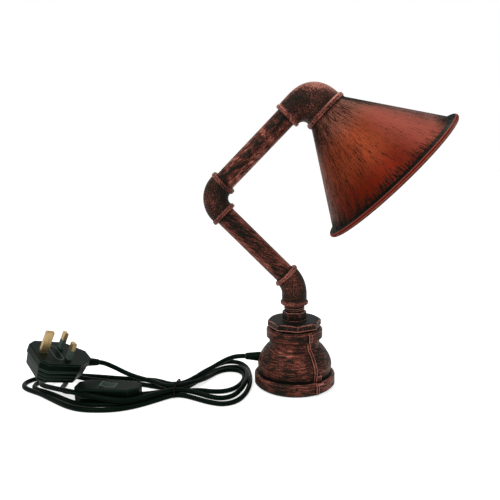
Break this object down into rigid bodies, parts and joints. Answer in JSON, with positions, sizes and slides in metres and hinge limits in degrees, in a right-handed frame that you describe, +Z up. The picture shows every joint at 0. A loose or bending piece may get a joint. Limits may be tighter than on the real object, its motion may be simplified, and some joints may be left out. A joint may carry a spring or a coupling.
{
  "type": "pipe table lamp",
  "caption": "Table lamp of screwed pipe fittings on a bell-shaped base, with turning joints, a cone shade, and a mains cord with in-line switch and plug.",
  "frame": {"origin": "centre of the foot pad's underside, on the axis of the base's upright screwed socket", "axes": "+Z up along the base's axis; +X in the plane of the arms from the cord side to the shade side; +Y away from the front"},
  "size_m": [0.443, 0.1744, 0.3105],
  "materials": {
    "rubbed_red_fitting": "near-black base coat dry-brushed with copper red, satin",
    "rubbed_red_pipe": "near-black base coat dry-brushed with copper red, satin",
    "rubbed_red_shade": "copper red dry-brushed over black, satin",
    "foot_pad": "matte foam rubber",
    "plated_steel": "zinc plated",
    "black_holder": "satin black",
    "brass": "satin brass",
    "black_cord": "satin black sheath",
    "black_tie": "matte black",
    "black_moulding": "satin black",
    "fuse": "ceramic body with metal caps"
  },
  "bodies": {
    "base": {"base_casting": "rubbed_red_fitting", "base_plate": "plated_steel", "foot_pad": "foot_pad", "octagon_bushing": "rubbed_red_fitting", "hex_nipple": "rubbed_red_fitting", "cord_grip": "black_cord", "flex_in_base": "black_cord", "cord_from_base": "black_cord", "cord_hank": "black_cord", "cord_tie": "black_tie", "cord_into_switch": "black_cord", "cord_out_of_switch": "black_cord", "cord_to_plug": "black_cord", "switch_base": "black_moulding", "switch_cover": "black_moulding", "switch_screws": "plated_steel", "switch_contacts": "brass", "plug_face": "black_moulding", "plug_back": "black_moulding", "plug_guard": "black_cord", "earth_pin": "brass", "power_pins": "brass", "pin_sleeves": "black_moulding"},
    "lower_arm": {"elbow_45": "rubbed_red_fitting", "lower_pipe": "rubbed_red_pipe", "flex_in_lower_arm": "black_cord"},
    "upper_arm": {"elbow_90": "rubbed_red_fitting", "upper_pipe": "rubbed_red_pipe", "flex_in_upper_arm": "black_cord"},
    "head": {"reducing_elbow": "rubbed_red_fitting", "flex_in_head": "black_cord", "carrier_disc": "plated_steel", "carrier_tube": "plated_steel", "carrier_locknut": "plated_steel", "shade_collar": "rubbed_red_shade", "shade": "rubbed_red_shade", "holder_cap": "black_holder", "holder_core": "black_holder", "holder_skirt": "black_holder", "screw_shell": "brass", "centre_contact": "brass"},
    "rocker": {"switch_rocker": "black_moulding"},
    "fuse_drawer": {"fuse_drawer": "black_moulding", "fuse": "fuse"}
  },
  "joints": [
    {"name": "base_swivel", "type": "hinge", "parent": "base", "child": "lower_arm", "pos_m": [0, 0, 0.0927], "axis": [0, 0, 1], "range_deg": [-90, 90]},
    {"name": "arm_twist", "type": "hinge", "parent": "lower_arm", "child": "upper_arm", "pos_m": [-0.08818, 0, 0.19688], "axis": [-0.7071, 0, 0.7071], "range_deg": [-45, 45]},
    {"name": "head_twist", "type": "hinge", "parent": "upper_arm", "child": "head", "pos_m": [0.014, 0, 0.29905], "axis": [0.7071, 0, 0.7071], "range_deg": [-90, 90]},
    {"name": "rocker_press", "type": "hinge", "parent": "base", "child": "rocker", "pos_m": [-0.1835, -0.0595, 0.0146], "axis": [0, -1, 0], "range_deg": [0, 16]},
    {"name": "fuse_slide", "type": "slide", "parent": "base", "child": "fuse_drawer", "axis": [0.3781, 0.033, 0.9252], "range_m": [0, 0.008]}
  ]
}
